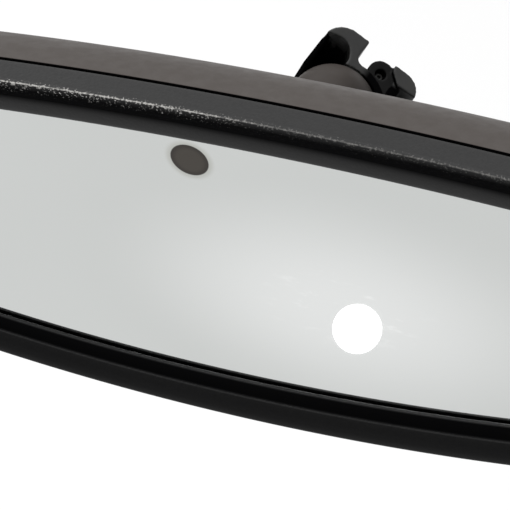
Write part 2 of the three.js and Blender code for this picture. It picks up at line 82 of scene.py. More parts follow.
class HeadSizes(bpy.types.PropertyGroup):
    half_height: length("Half height", "Half the height of the glass opening", 28.5)
    top_radius: length("Top radius", "Radius of the opening's top edge", 620)
    bottom_radius: length("Bottom radius", "Radius of the opening's bottom edge", 330)
    end_radius: length("End radius", "Radius of the opening's ends", 16)
    rim: length("Rim", "Width of the rim round the opening", 8.7)
    parting: length("Parting", "Where the bezel's side ends, back from the glass", 1.9)
    parting_gap: length("Parting gap", "Groove between bezel and shell", 0.5)
    back_radius: length("Back radius", "Radius that turns the shell to its back", 23)
    start_slope: angle("Start slope", "Slope of the shell's side", 8)
    turn_slope: angle("Turn slope", "Slope where the back's crown starts", 66)
    crown: length("Crown", "Height of the back's crown", 5)
    wall: length("Wall", "Wall of the shell", 2)
    glass_rim: length("Glass rim", "How far the glass reaches under the lip", 2.2)
    window_radius: length("Window radius", "Radius of the sensor window in the coating", 3.32)
    cover_radius: length("Cover radius", "Radius of the ball cover", 8.1)
    socket_radius: length("Socket radius", "Radius of the hollow in the ball cover", 7.2)
    mouth_angle: angle("Mouth angle", "Half angle of the ball cover's mouth", 38.2)
    arc_steps: IntProperty(name="Arc steps", description="Steps along each long edge", default=84, min=12)
    end_steps: IntProperty(name="End steps", description="Steps round each end", default=26, min=6)


class FinishColours(bpy.types.PropertyGroup):
    shell: colour("Shell", "Warm grey of the rear shell", (0.053, 0.0435, 0.0380))
    bezel: colour("Bezel", "Black of the grained bezel", (0.006, 0.006, 0.0062))
    coating: colour("Coating", "Reflective coating of the glass", (0.575, 0.590, 0.580))
    casting: colour("Casting", "Black of the cast foot", (0.010, 0.010, 0.0095))


class StageSizes(bpy.types.PropertyGroup):
    azimuth: angle("Azimuth", "Camera's turn to the right", 26.664)
    elevation: angle("Elevation", "Camera's height as an angle", 45.351)
    roll: angle("Roll", "Camera's roll", -8.151)
    distance: length("Distance", "Camera's distance from its aim", 400)
    aim_right: length("Aim right", "Camera's aim, right of the glass's middle", 4.948)
    aim_up: length("Aim up", "Camera's aim, above the glass's middle", 3.753)
    lens: FloatProperty(name="Lens", description="Focal length in millimetres", default=170.716, min=20)
    floor_drop: length("Floor drop", "How far the floor lies below the mirror", 500)


def sizes():
    return bpy.context.scene.mirror_sizes


def colours():
    return bpy.context.scene.mirror_colours


def glass_origin():
    """The middle of the opening, on the front of the glass."""
    s = sizes()
    return Vector((
        (GLASS_LOW.x + GLASS_HIGH.x) / 2,
        GLASS_LOW.y,
        GLASS_HIGH.z - s.half_height - s.glass_rim,
    ))


# ---------------------------------------------------------------- node trees


class Value:
    """A socket whose sums and products add Math nodes."""

    def __init__(self, builder, socket):
        self.builder = builder
        self.socket = socket

    def math(self, operation, *others, clamp=False):
        settings = {"operation": operation, "use_clamp": clamp}
        return self.builder.node("ShaderNodeMath", settings, dict(enumerate((self, *others))))["Value"]

    def __add__(self, other):
        return self.math("ADD", other)

    def __sub__(self, other):
        return self.math("SUBTRACT", other)

    def __rsub__(self, other):
        return (self * -1).math("ADD", other)

    def __mul__(self, other):
        return self.math("MULTIPLY", other)

    def __pow__(self, other):
        return self.math("POWER", other)

    def clamped(self):
        return self.math("ADD", 0.0, clamp=True)


class Node:
    """A node whose outputs are read by name or number."""

    def __init__(self, builder, node):
        self.builder = builder
        self.node = node

    def __getitem__(self, name):
        return Value(self.builder, self.node.outputs[name])


class Builder:
    """A tree of nodes, built one by one."""

    def __init__(self, tree):
        self.tree = tree

    def node(self, kind, settings=None, values=None):
        """The one way a node is made: its type, then its settings, then its sockets."""
        node = self.tree.nodes.new(kind)
        for name, setting in (settings or {}).items():
            setattr(node, name, setting)
        for name, value in (values or {}).items():
            if isinstance(value, Value):
                self.tree.links.new(value.socket, node.inputs[name])
            elif value is not None:
                node.inputs[name].default_value = value
        return Node(self, node)


# A dull black that stands in for shade: painted shade wherever a mask says.
PAINTED_SHADE_BLACK = {"Base Color": (0.0016, 0.0016, 0.0018, 1), "Roughness": 0.8, "Specular IOR Level": 0.012}


class Finish(Builder):
    """One material."""

    def __init__(self, name):
        self.material = bpy.data.materials.new(name)
        self.material.use_nodes = True
        super().__init__(self.material.node_tree)
        self.tree.nodes.clear()
        self.place = self.node("ShaderNodeTexCoord")["Object"]

    def split(self):
        """The three coordinates of a point on the surface."""
        parts = self.node("ShaderNodeSeparateXYZ", {}, {0: self.place})
        return parts["X"], parts["Y"], parts["Z"]

    def noise(self, scale, detail=3.0, roughness=0.5, at=None):
        values = {"Vector": at or self.place, "Scale": scale, "Detail": detail, "Roughness": roughness}
        return self.node("ShaderNodeTexNoise", {}, values)["Fac"]

    def cells(self, scale, feature="F1"):
        values = {"Vector": self.place, "Scale": scale}
        return self.node("ShaderNodeTexVoronoi", {"feature": feature}, values)["Distance"]

    def band(self, value, low, high, start=0.0, end=1.0):
        """A soft step: start below low, end above high."""
        settings = {"clamp": True, "interpolation_type": "SMOOTHSTEP"}
        values = {"Value": value, "From Min": low, "From Max": high, "To Min": start, "To Max": end}
        return self.node("ShaderNodeMapRange", settings, values)["Result"]

    def blend(self, factor, first, second):
        """A colour between two others. Sockets 0, 6 and 7 are the factor and the two colours."""
        first, second = [c if isinstance(c, Value) else (*c, 1.0) for c in (first, second)]
        settings = {"data_type": "RGBA", "clamp_factor": True}
        return self.node("ShaderNodeMix", settings, {0: factor, 6: first, 7: second})[2]

    def mottled(self, pattern, dark, light):
        return self.blend(self.band(pattern, 0.3, 0.7), dark, light)

    def bump(self, height, strength, distance, normal=None):
        values = {"Height": height, "Strength": strength, "Distance": distance, "Normal": normal}
        return self.node("ShaderNodeBump", {}, values)["Normal"]

    def edges(self, low, high, radius):
        """How far the surface bends away from its rounded normal: 1 on sharp edges."""
        bevel = self.node("ShaderNodeBevel", {"samples": 4}, {"Radius": radius})["Normal"]
        normal = self.node("ShaderNodeNewGeometry")["Normal"]
        dot = self.node("ShaderNodeVectorMath", {"operation": "DOT_PRODUCT"}, {0: bevel, 1: normal})
        return self.band(1 - dot["Value"], low, high)

    def worn(self, share, color, bare, radius, low=0.02, high=0.3):
        """The colour, with sharp edges part of the way to a barer one."""
        return self.blend(self.edges(low, high, radius) * share, color, bare)

    def attribute(self, name):
        return self.node("ShaderNodeAttribute", {"attribute_name": name})["Fac"]

    def finish(self, painted_shade_mask=None, **values):
        """Ends the material. Where the painted shade mask is 1, the surface is painted shade: a dull black
        instead.
        """
        inputs = {name.replace("_", " "): value for name, value in values.items()}
        surface = self.node("ShaderNodeBsdfPrincipled", {}, inputs)["BSDF"]
        if painted_shade_mask is not None:
            dull = self.node("ShaderNodeBsdfPrincipled", {}, PAINTED_SHADE_BLACK)["BSDF"]
            surface = self.node("ShaderNodeMixShader", {}, {0: painted_shade_mask, 1: surface, 2: dull})["Shader"]
        self.node("ShaderNodeOutputMaterial", {}, {"Surface": surface})
        return self.material


def scaled(color, factor):
    return tuple(min(1.0, channel * factor) for channel in color)


# ---------------------------------------------------------------- finishes


def shell_finish():
    """Warm grey moulded plastic with a fine spark grain, and painted shade as a dull black in the groove beside
    the bezel.
    """
    f = Finish("shell_plastic")
    base = tuple(colours().shell)
    color = f.mottled(f.noise(38.0, 4.0, 0.55), scaled(base, 0.985), scaled(base, 1.015))
    color = f.blend(f.band(f.noise(2600.0, 2.0), 0.42, 0.62) * 0.12, color, scaled(base, 1.5))
    color = f.worn(0.3, color, scaled(base, 1.6), 0.3 * MM, 0.01, 0.2)
    grain = f.bump(f.noise(5200.0, 3.0), 0.18, 0.04 * MM)
    grain = f.bump(f.noise(900.0, 2.0), 0.08, 0.05 * MM, grain)
    rough = f.band(f.noise(420.0), 0.3, 0.7, 0.46, 0.56)
    front = glass_origin().y + sizes().parting + sizes().parting_gap
    # Painted shade: the plastic in the groove beside the bezel is a dull black.
    groove = f.band(f.split()[1] - front, 0.02 * MM, 0.08 * MM, 1.0, 0.0)
    return f.finish(groove, Base_Color=color, Roughness=rough, Specular_IOR_Level=0.35, Normal=grain)


def cover_finish():
    """The shell's plastic with painted shade: darker than the shell all over, and darker still towards the lower
    right of the ball cover.
    """
    f = Finish("cover_plastic")
    # Painted shade: the shell's plastic made darker all over, and darker still towards the lower right.
    base = scaled(tuple(colours().shell), 0.78)
    x, _, z = f.split()
    painted_falloff = f.band((x - BALL.x) - (z - BALL.z) * 0.8, -7 * MM, 8 * MM)
    color = f.blend(painted_falloff, scaled(base, 1.12), scaled(base, 0.42))
    color = f.worn(0.3, color, scaled(base, 1.6), 0.3 * MM, 0.01, 0.2)
    rough = f.band(f.noise(420.0), 0.3, 0.7, 0.50, 0.60)
    grain = f.bump(f.noise(5200.0, 3.0), 0.18, 0.04 * MM)
    return f.finish(Base_Color=color, Roughness=rough, Specular_IOR_Level=0.22, Normal=grain)


def bezel_finish():
    """Black plastic with a fine pebble grain, a painted sparkle and a painted highlight along the ridge, and
    painted shade as a dull black in the cove.
    """
    f = Finish("bezel_grain")
    base = tuple(colours().bezel)
    pebble = f.cells(2600.0, "SMOOTH_F1")
    small = f.cells(6000.0)
    height = f.band(pebble, 0.1, 0.75, 1.0, 0.0) * 0.8 + f.band(small, 0.1, 0.7, 1.0, 0.0) * 0.3
    color = f.blend(f.band(pebble, 0.45, 0.8) * 0.5, base, scaled(base, 0.5))
    color = f.blend(f.band(f.noise(60.0, 3.0), 0.35, 0.7) * 0.4, color, scaled(base, 1.3))
    # Painted highlights: pale grey specks and a pale grey stripe along the ridge, weaker towards the right.
    painted_glint = f.attribute("painted_glint")
    glint_falloff = f.band(f.split()[0], -12 * MM, 14 * MM, 1.0, 0.22)
    spark = f.band(f.noise(2900.0, 2.0) + painted_glint * 0.18, 0.66, 0.78) * f.band(painted_glint, 0.0, 0.1) * glint_falloff
    painted_ridge_highlight = f.band(painted_glint, 0.75, 1.0) * f.band(f.noise(2300.0, 3.0), 0.35, 0.62, 0.12, 1.0) * glint_falloff
    color = f.blend((spark * 0.8 + painted_ridge_highlight).clamped(), color, (0.44, 0.43, 0.41))
    rough = f.band(f.noise(1800.0, 2.0), 0.3, 0.7, 0.28, 0.42) - painted_ridge_highlight * 0.08
    grain = f.bump(height, 0.30, 0.05 * MM)
    # Painted shade where the stored shade says, left off under the painted sparkle.
    shade = (f.attribute("painted_shade") - spark * 0.8).clamped()
    return f.finish(shade, Base_Color=color, Roughness=rough, Specular_IOR_Level=0.37, Normal=grain)


def mirror_finish():
    """Bright coating with a clear round window for the glare sensor, painted shade towards the window's rim and a
    painted glow round the lamp's image.
    """
    f = Finish("mirror_coating")
    sensor_low, sensor_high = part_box("glare_light_pipe")
    radius = sizes().window_radius
    blur = 0.10 * MM
    reach = distance(f, (sensor_low + sensor_high) / 2)
    outside = f.band(reach, radius - blur, radius + blur)
    halo = f.band(reach, radius, radius + 1.3 * MM, 1.0, 0.0) * outside
    # Painted shade: the window darkens towards its rim.
    painted_window_shade = f.band(reach, radius * 0.62, radius * 0.98)
    window = f.blend(painted_window_shade, (0.046, 0.039, 0.031), (0.024, 0.019, 0.015))
    coat = tuple(colours().coating)
    color = f.mottled(f.noise(9.0, 3.0), scaled(coat, 0.99), scaled(coat, 1.04))
    # Painted reflection: the coating is made paler round the round lamp's image, with faint streaks near it.
    color = f.blend(painted_lamp_glow(f) * 0.85, color, (0.86, 0.87, 0.865))
    color = f.blend(halo * 0.45, color, (0.33, 0.33, 0.28))
    color = f.blend(outside, window, color)
    smear = f.band(f.noise(55.0, 6.0, 0.65), 0.55, 0.8)
    rough = f.band(outside, 0.0, 1.0, 0.22, 0.012) + smear * 0.006
    return f.finish(Base_Color=color, Metallic=outside, Roughness=rough, Specular_IOR_Level=0.25)


def distance(f, middle, squeeze=1.0):
    """How far a point lies from the middle, seen along Y. The squeeze makes circles longer along X."""
    x, _, z = f.split()
    across = (x - middle.x) * squeeze
    up = z - middle.z
    return (across * across + up * up) ** 0.5


def painted_lamp_glow(f):
    """A painted glow of the lamp's reflection on the coating, strongest right of its middle, with a few faint
    painted streaks near it.
    """
    reach = distance(f, glass_origin() + Vector((20, 0, -5)) * MM, 0.62)
    painted_glow = f.band(reach, 2 * MM, 30 * MM, 0.75, 0.0)
    turn = {"Vector": f.place, "Rotation": (0, 0.5, 0), "Scale": (1.0, 1.0, 2.4)}
    stretched = f.node("ShaderNodeMapping", {}, turn)["Vector"]
    painted_streaks = f.band(f.noise(190.0, 4.0, 0.6, stretched), 0.56, 0.74)
    near = f.band(reach, 3 * MM, 12 * MM, 1.0, 0.0)
    return (painted_glow + painted_streaks * near * 0.45).clamped()


def casting_finish():
    """Black paint over a cast surface, worn a little on its edges, with painted shade as a dull black in its
    hollows and on its sides in the head's shade.
    """
    f = Finish("cast_black")
    base = tuple(colours().casting)
    color = f.blend(f.band(f.noise(160.0, 4.0), 0.35, 0.7), base, scaled(base, 1.5))
    color = f.worn(0.25, color, (0.06, 0.058, 0.052), 0.5 * MM)
    rough = f.band(f.noise(500.0), 0.3, 0.7, 0.34, 0.48)
    # Painted shade: a dull black where the foot's stored shade marks its hollows and shaded sides.
    hollow = f.band(f.attribute("painted_shade"), 0.30, 0.55)
    orange_peel = f.bump(f.noise(1500.0, 3.0), 0.3, 0.06 * MM)
    return f.finish(hollow, Base_Color=color, Roughness=rough, Specular_IOR_Level=0.5, Normal=orange_peel)


def metal_finish(name, color):
    """Plated metal with fine drawn lines."""
    f = Finish(name)
    stretch = f.node("ShaderNodeMapping", {}, {"Vector": f.place, "Scale": (1.0, 0.06, 1.0)})["Vector"]
    lines = f.noise(2700.0, 3.0, 0.6, stretch)
    tone = f.mottled(lines, scaled(color, 0.85), scaled(color, 1.1))
    tone = f.worn(0.5, tone, scaled(color, 1.5), 0.2 * MM)
    rough = f.band(lines, 0.3, 0.7, 0.24, 0.40)
    return f.finish(Base_Color=tone, Metallic=1.0, Roughness=rough, Normal=f.bump(lines, 0.12, 0.02 * MM))


def plastic_finish(name, color, rough_low, rough_high, grain_scale=3000.0, strength=0.2):
    """Moulded plastic in one colour, with mottling and a fine grain."""
    f = Finish(name)
    tone = f.mottled(f.noise(120.0, 3.0), scaled(color, 0.85), scaled(color, 1.15))
    tone = f.worn(0.4, tone, scaled(color, 1.7), 0.25 * MM)
    rough = f.band(f.noise(800.0), 0.3, 0.7, rough_low, rough_high)
    grain = f.bump(f.noise(grain_scale), strength, 0.03 * MM)
    return f.finish(Base_Color=tone, Roughness=rough, Normal=grain)


def foam_finish():
    """Dark closed-cell foam."""
    f = Finish("foam_cells")
    cells = f.cells(1900.0)
    tone = f.blend(f.band(cells, 0.1, 0.7), (0.028, 0.028, 0.03), (0.055, 0.055, 0.058))
    return f.finish(Base_Color=tone, Roughness=0.95, Normal=f.bump(cells, 0.7, 0.15 * MM))


def board_finish():
    """Green solder mask with faint copper tracks under it."""
    f = Finish("solder_mask")
    x, _, z = f.split()
    tracks = f.band((x * 2600.0).math("SINE") * (z * 3100.0).math("SINE"), 0.35, 0.5)
    tone = f.blend(tracks, (0.012, 0.085, 0.032), (0.03, 0.16, 0.06))
    return f.finish(Base_Color=tone, Roughness=0.35, Normal=f.bump(tracks, 0.3, 0.03 * MM))


def clear_finish():
    """Polished clear material with the faintest smudges."""
    f = Finish("clear_glass")
    tint = f.mottled(f.noise(30.0, 3.0), (0.90, 0.94, 0.93), (0.95, 0.97, 0.96))
    rough = f.band(f.noise(90.0, 4.0), 0.4, 0.8, 0.02, 0.06)
    return f.finish(Base_Color=tint, Roughness=rough, Transmission_Weight=1.0, IOR=1.5)


def make_finishes():
    return {
        "housing": shell_finish(),
        "cover": cover_finish(),
        "bezel": bezel_finish(),
        "mirror": mirror_finish(),
        "clear": clear_finish(),
        "steel": metal_finish("plated_steel", (0.46, 0.46, 0.44)),
        "casting": casting_finish(),
        "nylon": plastic_finish("natural_nylon", (0.70, 0.68, 0.58), 0.4, 0.55),
        "plastic": plastic_finish("black_plastic", (0.013, 0.013, 0.013), 0.4, 0.6),
        "foam": foam_finish(),
        "board": board_finish(),
        "gold": metal_finish("gold_plate", (0.75, 0.50, 0.16)),
        "smoke": plastic_finish("smoked_window", (0.020, 0.017, 0.015), 0.06, 0.12, 400.0, 0.02),
    }


FINISHES = {}


# ---------------------------------------------------------------- mesh helpers


def mesh_object(name, bm, slot, body, replaced=(), smooth_angle=35.0):
    """Turns a bmesh into a finished piece that rides on a body."""
    bmesh.ops.remove_doubles(bm, verts=bm.verts, dist=1e-7)
    bmesh.ops.recalc_face_normals(bm, faces=bm.faces)
    mesh = bpy.data.meshes.new(name)
    bm.to_mesh(mesh)
    bm.free()
    piece = bpy.data.objects.new(name, mesh)
    bpy.context.scene.collection.objects.link(piece)
    return dress(piece, slot, body, replaced, smooth_angle)


def dress(piece, slot, body, replaced=(), smooth_angle=35.0):
    """Gives a piece its shading, the finish of its slot and its body, and hides the nodes it stands for."""
    mesh = piece.data
    mesh.shade_smooth()
    mesh.set_sharp_from_angle(angle=math.radians(smooth_angle))
    mesh.materials.clear()
    mesh.materials.append(FINISHES[slot])
    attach(piece, body)
    if replaced:
        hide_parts(*replaced)
    return piece


def applied(piece):
    """Puts the piece's evaluated mesh in place of its modifiers."""
    graph = bpy.context.evaluated_depsgraph_get()
    mesh = bpy.data.meshes.new_from_object(piece.evaluated_get(graph), depsgraph=graph)
    piece.modifiers.clear()
    old = piece.data
    piece.data = mesh
    bpy.data.meshes.remove(old)


def grid_faces(bm, rows, closed_rows=False):
    """Quads between rows of vertices; each row closes on itself. A row of one vertex is a pole."""
    pairs = list(zip(rows, rows[1:]))
    if closed_rows:
        pairs.append((rows[-1], rows[0]))
    for first, second in pairs:
        count = max(len(first), len(second))
        for i in range(count):
            j = (i + 1) % count
            corners = []
            for vertex in (first[i % len(first)], first[j % len(first)], second[j % len(second)],
                           second[i % len(second)]):
                if vertex not in corners:
                    corners.append(vertex)
            if len(corners) > 2:
                bm.faces.new(corners)


def add_rows(bm, rows):
    return [[bm.verts.new(point) for point in row] for row in rows]


def ring(radius, height, steps):
    """Points on a circle round Y. A radius of 0 is a single point."""
    if radius < 1e-9:
        return [Vector((0, height, 0))]
    angles = [2 * math.pi * i / steps for i in range(steps)]
    return [Vector((radius * math.cos(a), height, radius * math.sin(a))) for a in angles]


def moved(rows, place, turn):
    return [[place + turn @ point for point in row] for row in rows]


def solid(rows, closed=False, capped=False):
    """A mesh through rows of points."""
    bm = bmesh.new()
    loops = add_rows(bm, rows)
    grid_faces(bm, loops, closed)
    if capped:
        bm.faces.new(loops[0])
        bm.faces.new(loops[-1])
    bmesh.ops.recalc_face_normals(bm, faces=bm.faces)
    return bm


def turned_mesh(profile, place, turn, steps=72, closed=False):
    """A body of revolution. The profile is [radius, height] along +Y."""
    rows = [ring(radius, height, steps) for radius, height in profile]
    return solid(moved(rows, place, turn), closed)


def arc(radius, start, end, steps):
    """Points on an arc as [across, along], the angle measured from the along axis."""
    angles = [start + (end - start) * i / steps for i in range(steps + 1)]
    return [(radius * math.sin(a), radius * math.cos(a)) for a in angles]


def cylinder(name, middle, radius, depth):
    """A plain cutter along Y."""
    bm = bmesh.new()
    matrix = Matrix.Translation(middle) @ Matrix.Rotation(math.pi / 2, 4, "X")
    bmesh.ops.create_cone(
        bm, cap_ends=True, segments=64, radius1=radius, radius2=radius, depth=depth, matrix=matrix)
    return plain_object(name, bm)


def subtract(piece, *cutters):
    """Cuts the cutters out of the piece and removes them."""
    for cutter in cutters:
        modifier = piece.modifiers.new("cut", "BOOLEAN")
        modifier.operation = "DIFFERENCE"
        modifier.solver = "EXACT"
        modifier.object = cutter
    applied(piece)
    for cutter in cutters:
        bpy.data.objects.remove(cutter)
    return piece


def plain_object(name, bm):
    mesh = bpy.data.meshes.new(name)
    bm.to_mesh(mesh)
    bm.free()
    piece = bpy.data.objects.new(name, mesh)
    bpy.context.scene.collection.objects.link(piece)
    return piece


# ---------------------------------------------------------------- pieces grown by nodes


class Tree(Builder):
    """A Geometry Nodes tree that grows one mesh from points, with named inputs."""

    def __init__(self, name, inputs):
        super().__init__(bpy.data.node_groups.new(name, "GeometryNodeTree"))
        sockets = self.tree.interface
        sockets.new_socket("Points", in_out="INPUT", socket_type="NodeSocketGeometry")
        self.identifiers = {}
        for label, kind in inputs.items():
            self.identifiers[label] = sockets.new_socket(label, in_out="INPUT", socket_type=kind).identifier
        sockets.new_socket("Mesh", in_out="OUTPUT", socket_type="NodeSocketGeometry")
        self.given = self.node("NodeGroupInput")

    def finish(self, instances):
        """Makes the instances real, sets the material and ends the tree."""
        real = self.node("GeometryNodeRealizeInstances", {}, {"Geometry": instances})["Geometry"]
        material = {"Geometry": real, "Material": self.given["Material"]}
        dressed = self.node("GeometryNodeSetMaterial", {}, material)["Geometry"]
        self.node("NodeGroupOutput", {}, {"Mesh": dressed})

    def grow(self, name, points, values):
        """Runs the tree once on the points and keeps its result as a plain mesh."""
        bm = bmesh.new()
        for point in points:
            bm.verts.new(point)
        piece = plain_object(name, bm)
        modifier = piece.modifiers.new("grow", "NODES")
        modifier.node_group = self.tree
        for label, value in values.items():
            modifier[self.identifiers[label]] = value
        applied(piece)
        if not piece.data.polygons:
            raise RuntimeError(f"{name} grew no faces")
        return piece


def spread_tree():
    """Copies a piece to every point, each turned about Y by its own share of the turn."""
    tree = Tree("spread_pieces", {
        "Piece": "NodeSocketObject", "Turn": "NodeSocketFloat", "Seed": "NodeSocketInt",
        "Material": "NodeSocketMaterial"})
    given = tree.given
    copy = tree.node("GeometryNodeObjectInfo", {"transform_space": "ORIGINAL"}, {"Object": given["Piece"]})
    most = tree.node("ShaderNodeCombineXYZ", {}, {"Y": given["Turn"]})
    turn = tree.node("FunctionNodeRandomValue", {"data_type": "FLOAT_VECTOR"}, {
        "Min": (0, 0, 0), "Max": most["Vector"], "Seed": given["Seed"]})
    placed = tree.node("GeometryNodeInstanceOnPoints", {}, {
        "Points": given["Points"], "Instance": copy["Geometry"], "Rotation": turn[0]})
    tree.finish(placed["Instances"])
    return tree


def coil_tree():
    """Winds a wire round Y, starting at each point."""
    tree = Tree("wind_coil", {
        "Turns": "NodeSocketFloat", "Radius": "NodeSocketFloat", "Height": "NodeSocketFloat",
        "Wire": "NodeSocketFloat", "Material": "NodeSocketMaterial"})
    given = tree.given
    coil = tree.node("GeometryNodeCurveSpiral", {}, {
        "Resolution": 48, "Rotations": given["Turns"], "Start Radius": given["Radius"],
        "End Radius": given["Radius"], "Height": given["Height"]})
    section = tree.node("GeometryNodeCurvePrimitiveCircle", {"mode": "RADIUS"}, {
        "Resolution": 16, "Radius": given["Wire"]})
    wire = tree.node("GeometryNodeCurveToMesh", {}, {
        "Curve": coil["Curve"], "Profile Curve": section["Curve"], "Fill Caps": True})
    upright = tree.node("GeometryNodeTransform", {}, {
        "Geometry": wire["Mesh"], "Rotation": (-math.pi / 2, 0, 0)})
    placed = tree.node("GeometryNodeInstanceOnPoints", {}, {
        "Points": given["Points"], "Instance": upright["Geometry"]})
    tree.finish(placed["Instances"])
    return tree


# ---------------------------------------------------------------- lens outline


def lens_arcs():
    """The opening's four arcs as (centre x, centre z, radius, start, end, steps), from the top left."""
    s = sizes()
    top = s.half_height - s.top_radius
    bottom = s.bottom_radius - s.half_height
    top_reach = s.top_radius - s.end_radius
    bottom_reach = s.bottom_radius - s.end_radius
    end_z = (top_reach ** 2 - bottom_reach ** 2 - top ** 2 + bottom ** 2) / (2 * (bottom - top))
    end_x = math.sqrt(top_reach ** 2 - (end_z - top) ** 2)
    top_angle = math.atan2(end_x, end_z - top)
    bottom_angle = math.atan2(end_x, bottom - end_z)
    return [
        (0.0, top, s.top_radius, -top_angle, top_angle, s.arc_steps),
        (end_x, end_z, s.end_radius, top_angle, math.pi - bottom_angle, s.end_steps),
        (0.0, bottom, s.bottom_radius, math.pi - bottom_angle, math.pi + bottom_angle, s.arc_steps),
        (-end_x, end_z, s.end_radius, math.pi + bottom_angle, 2 * math.pi - top_angle, s.end_steps),
    ]


def lens_outline(offset):
    """Points [x, z] of the opening's outline, moved outward by the offset."""
    points = []
    for x, z, radius, start, end, steps in lens_arcs():
        for i in range(steps):
            way = start + (end - start) * i / steps
            reach = radius + offset
            points.append((reach * math.sin(way) + x, reach * math.cos(way) + z))
    return points


def lens_row(offset, y, scale=1.0):
    origin = glass_origin()
    return [origin + Vector((x * scale, y, z * scale)) for x, z in lens_outline(offset)]


# ---------------------------------------------------------------- rear shell


TURN_STEPS = 26
CROWN_STEPS = 22


def shell_profile(inset):
    """[offset, y, scale] down the shell's outside, or its inside when there is an inset."""
    s = sizes()
    front = s.parting + s.parting_gap
    rows = []
    for i in range(TURN_STEPS + 1):
        slope = s.start_slope + (s.turn_slope - s.start_slope) * i / TURN_STEPS
        inward = s.back_radius * (math.cos(s.start_slope) - math.cos(slope)) + inset * math.cos(slope)
        back = s.back_radius * (math.sin(slope) - math.sin(s.start_slope)) - inset * math.sin(slope)
        rows.append((s.rim - inward, front + back, 1.0))
    offset, turn_y, _ = rows[-1]
    for i in range(1, CROWN_STEPS + 1):
        scale = 1 - i / CROWN_STEPS
        rows.append((offset, turn_y + s.crown * (1 - scale ** 2), scale))
    return rows


def eased(columns, first, last, passes):
    """Smooths each column of points between two rows, so that a change of slope becomes a soft bend."""
    for _ in range(passes):
        before = [list(row) for row in columns]
        for r in range(first, last):
            for i in range(len(columns[r])):
                middle = (before[r - 1][i] + before[r + 1][i]) / 2
                columns[r][i] = before[r][i].lerp(middle, 0.5)
    return columns


def shell_rows(inset):
    rows = [lens_row(*row) for row in shell_profile(inset)]
    rows = eased(rows, TURN_STEPS - 7, TURN_STEPS + 12, 30)
    rows[-1] = rows[-1][:1]
    return rows


def back_y():
    """Where the shell's back lies along Y from the ball, at its middle."""
    return shell_profile(0.0)[-1][1] + glass_origin().y - BALL.y


class MIRROR_OT_shell(bpy.types.Operator):
    """Builds the rear shell with its rolled front edge, wire port and sensor hole"""

    bl_idname = "mirror.shell"
    bl_label = "Rear shell"

    def execute(self, context):
        s = sizes()
        front = s.parting + s.parting_gap
        edge = 0.14 * MM
        lip = [lens_row(s.rim - edge + x, front + edge - y) for x, y in arc(edge, 0, math.pi / 2, 4)]
        flat = lens_row(s.rim - s.wall, front)
        rows = shell_rows(s.wall)[::-1] + [flat] + lip + shell_rows(0.0)[1:]
        shell = plain_object("rear_shell", solid(rows))
        subtract(shell, self.port_cutter(), self.window_cutter(), self.bore_cutter())
        dress(shell, "housing", "head", ["rear_housing"], 32.0)
        return {"FINISHED"}

    def port_cutter(self):
        """A block with rounded edges, a little wider than the connector."""
        low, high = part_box("connector_shell")
        grow = Vector((0.4, 8.0, 0.4)) * MM
        corner = 1.2 * MM
        bm = bmesh.new()
        bmesh.ops.create_cube(bm, size=1.0)
        for vertex in bm.verts:
            for axis in range(3):
                vertex.co[axis] = (low - grow)[axis] if vertex.co[axis] < 0 else (high + grow)[axis]
        along = [e for e in bm.edges if abs((e.verts[0].co - e.verts[1].co).y) > 1e-9]
        bmesh.ops.bevel(bm, geom=along, offset=corner, segments=5, profile=0.5, affect="EDGES")
        return plain_object("port_cut", bm)

    def window_cutter(self):
        low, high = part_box("ambient_window")
        radius = (high.x - low.x) / 2 + 0.3 * MM
        return cylinder("window_cut", (low + high) / 2 + Vector((0, 8 * MM, 0)), radius, 30 * MM)

    def bore_cutter(self):
        """A bore behind the ball cover, narrower than the cover's foot."""
        return cylinder("bore_cut", BALL - Vector((0, 26 * MM, 0)), 7.4 * MM, 16 * MM)


class MIRROR_OT_neck(bpy.types.Operator):
    """Builds the neck that grows out of the shell's back and the dome over the ball"""

    bl_idname = "mirror.neck"
    bl_label = "Neck and ball cover"

    def execute(self, context):
        s = sizes()
        steps = 96
        foot_radius = 12.2 * MM
        neck_start = back_y() + 5 * MM
        neck_end = -7 * MM
        deep = back_y() - 3 * MM
        mouth = s.mouth_angle + 0.03
        profile = []
        neck_steps = 12
        for t in range(1, neck_steps + 1):
            share = t / neck_steps
            radius = foot_radius + (s.cover_radius - foot_radius) * math.sin(share * math.pi / 2)
            profile.append((radius, neck_start + (neck_end - neck_start) * share))
        profile += arc(s.cover_radius, math.pi / 2, mouth, 26)
        profile += arc(s.socket_radius, mouth, math.pi / 2, 18)
        profile += [(s.socket_radius, deep), (foot_radius, deep)]
        rows = self.fillet(foot_radius, steps)
        rows += moved([ring(radius, y, steps) for radius, y in profile], BALL, Matrix.Identity(3))
        cover = mesh_object("ball_cover", solid(rows, closed=True), "housing", "head", smooth_angle=40.0)
        cover.data.materials[0] = FINISHES["cover"]
        return {"FINISHED"}

    def fillet(self, foot_radius, steps):
        """Rings that rise from the shell's back into the neck."""
        tree = BVHTree.FromObject(bpy.data.objects["rear_shell"], bpy.context.evaluated_depsgraph_get())
        fillet = 3.2 * MM
        sunk = 0.05 * MM
        bends = 8
        rows = []
        for t in range(bends + 1):
            bend = math.pi / 2 * t / bends
            radius = foot_radius + fillet * (1 - math.sin(bend))
            rise = fillet * (1 - math.cos(bend)) - sunk
            rows.append([self.on_shell(tree, point, rise) for point in ring(radius, 0.0, steps)])
        return rows

    def on_shell(self, tree, point, rise):
        hit = tree.ray_cast(BALL + point, Vector((0, -1, 0)))[0]
        if hit is None:
            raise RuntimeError("the neck's foot misses the shell")
        return hit + Vector((0, rise, 0))


# ---------------------------------------------------------------- bezel and glass


